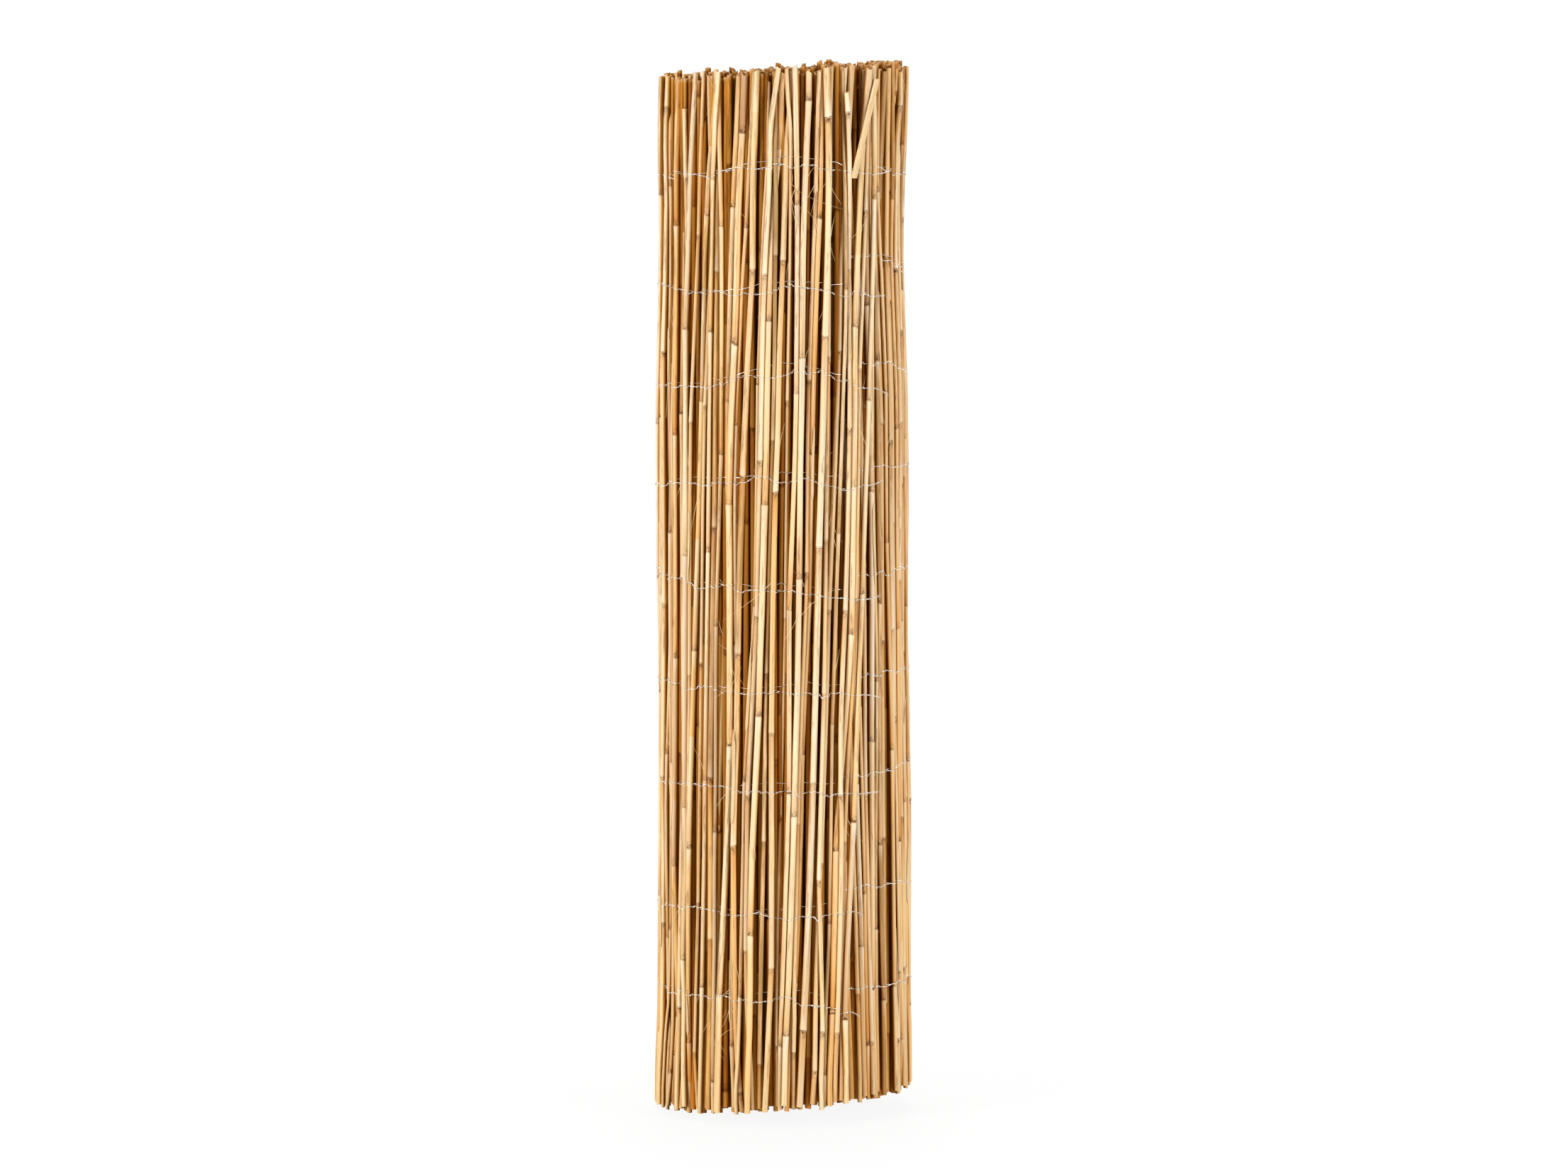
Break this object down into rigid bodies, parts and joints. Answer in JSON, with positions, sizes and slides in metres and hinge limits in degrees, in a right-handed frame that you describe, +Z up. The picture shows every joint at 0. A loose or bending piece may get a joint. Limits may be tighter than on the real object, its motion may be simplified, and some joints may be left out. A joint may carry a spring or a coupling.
{
  "type": "reed screening roll",
  "caption": "Roll of natural reed screening standing on its end: a mat of dry reeds tied side by side with rows of thin twisted wire and rolled up round an open middle.",
  "frame": {"origin": "on the floor, in the middle of the standing roll's footprint", "axes": "+Z up along the roll's own axis, from the foot of the reeds to their tips; -Y is the side with the wires seen in front, and the mat's loose edge lies to the right of it"},
  "size_m": [0.2554, 0.261, 1.0256],
  "materials": {
    "reed": "satin",
    "inner_reed": "satin",
    "binding_wire": "galvanised"
  },
  "bodies": {
    "root": {"outer_turn_reeds": "reed", "inner_turns": "inner_reed", "binding_wire_1": "binding_wire", "binding_wire_2": "binding_wire", "binding_wire_3": "binding_wire", "binding_wire_4": "binding_wire", "binding_wire_5": "binding_wire", "binding_wire_6": "binding_wire", "binding_wire_7": "binding_wire", "binding_wire_8": "binding_wire", "binding_wire_9": "binding_wire"}
  },
  "joints": []
}
